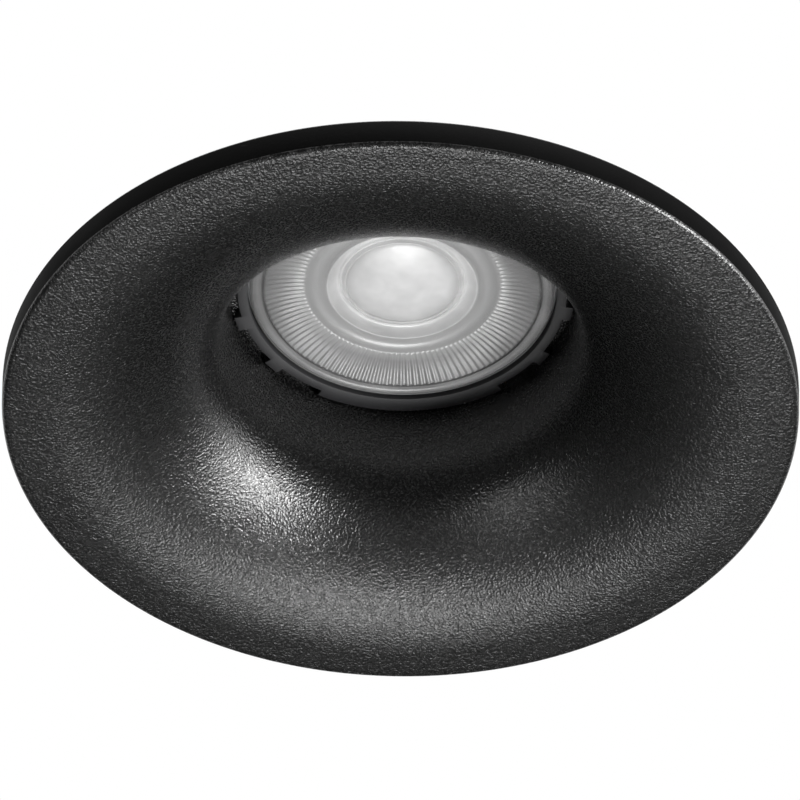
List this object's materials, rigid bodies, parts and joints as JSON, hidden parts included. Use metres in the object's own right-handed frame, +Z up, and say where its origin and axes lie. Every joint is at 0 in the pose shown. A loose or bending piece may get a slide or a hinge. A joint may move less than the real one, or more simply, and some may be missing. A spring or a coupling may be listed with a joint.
{
  "type": "recessed soffit downlight",
  "caption": "Round recessed downlight with a black bell-mouth trim, a pin-base reflector lamp behind a slotted ring, two sprung ceiling clips and a terminal box.",
  "frame": {"origin": "centre of the trim's ceiling side, where the locating skirt leaves the ceiling face", "axes": "+Z up into the ceiling, room below; +X through the right clip and the cable inlet"},
  "size_m": [0.163, 0.1204, 0.1143],
  "materials": {
    "black_powder": "fine textured black powder coat, slight sheen",
    "grey_foam": "closed cell foam, matt",
    "black_plastic": "satin moulded, black",
    "clear_lens": "clear moulded plastic lens, polished front, ribbed back",
    "lamp_metal": "satin die-cast",
    "white_board": "white solder mask",
    "led_yellow": "yellow phosphor",
    "green_board": "green solder mask",
    "dark_component": "moulded case",
    "lamp_plastic": "white moulded base",
    "pin_metal": "nickel plated",
    "socket_ceramic": "unglazed steatite",
    "brass_strip": "brass",
    "screw_steel": "zinc plated",
    "zinc_steel": "galvanised sheet",
    "box_plastic": "moulded, fine grain",
    "block_plastic": "white polyamide",
    "black_rubber": "matt black rubber",
    "brown_lead": "silicone sleeve",
    "blue_lead": "silicone sleeve",
    "green_yellow_lead": "silicone sleeve",
    "spring_sheet": "spring steel sheet",
    "spring_wire": "drawn spring wire"
  },
  "bodies": {
    "housing": {"trim": "black_powder", "ceiling_gasket": "grey_foam", "socket_body": "socket_ceramic", "socket_cover": "socket_ceramic", "socket_contacts": "brass_strip", "socket_screws": "screw_steel", "bridge": "zinc_steel", "bridge_screws": "screw_steel", "terminal_box": "box_plastic", "terminal_cover": "box_plastic", "cover_screw": "screw_steel", "box_screws": "screw_steel", "terminal_block": "block_plastic", "terminal_screws": "screw_steel", "terminal_sleeves": "brass_strip", "cord_grip": "block_plastic", "grip_screws": "screw_steel", "inlet_grommet": "black_rubber", "live_lead": "brown_lead", "neutral_lead": "blue_lead", "earth_lead": "green_yellow_lead", "earth_tag": "brass_strip", "earth_screw": "brass_strip", "clip_spring_right": "spring_wire", "hinge_pin_right": "screw_steel", "clip_spring_left": "spring_wire", "hinge_pin_left": "screw_steel"},
    "ring": {"lamp_ring": "black_plastic"},
    "lamp": {"lamp_optic": "clear_lens", "lamp_body": "lamp_metal", "led_board": "white_board", "led_chips": "led_yellow", "driver_board": "green_board", "driver_components": "dark_component", "lamp_base": "lamp_plastic", "lamp_pins": "pin_metal"},
    "clip_right": {"clip_arm_right": "spring_sheet", "clip_pad_right": "black_rubber"},
    "clip_left": {"clip_arm_left": "spring_sheet", "clip_pad_left": "black_rubber"}
  },
  "joints": [
    {"name": "ring_twist", "type": "hinge", "parent": "housing", "child": "ring", "pos_m": [0, 0, 0.025], "axis": [0, 0, -1], "range_deg": [0, 28]},
    {"name": "lamp_twist", "type": "hinge", "parent": "housing", "child": "lamp", "pos_m": [0, 0, 0.0698], "axis": [0, 0, -1], "range_deg": [0, 18]},
    {"name": "clip_right_fold", "type": "hinge", "parent": "housing", "child": "clip_right", "pos_m": [0.0445, 0, 0.0115], "axis": [0, -1, 0], "range_deg": [0, 100], "stiffness_Nm_per_rad": 0.2, "springref_deg": -45.84, "deforming": ["clip_spring_right"]},
    {"name": "clip_left_fold", "type": "hinge", "parent": "housing", "child": "clip_left", "pos_m": [-0.0445, 0, 0.0115], "axis": [0, 1, 0], "range_deg": [0, 100], "stiffness_Nm_per_rad": 0.2, "springref_deg": -45.84, "deforming": ["clip_spring_left"]}
  ]
}
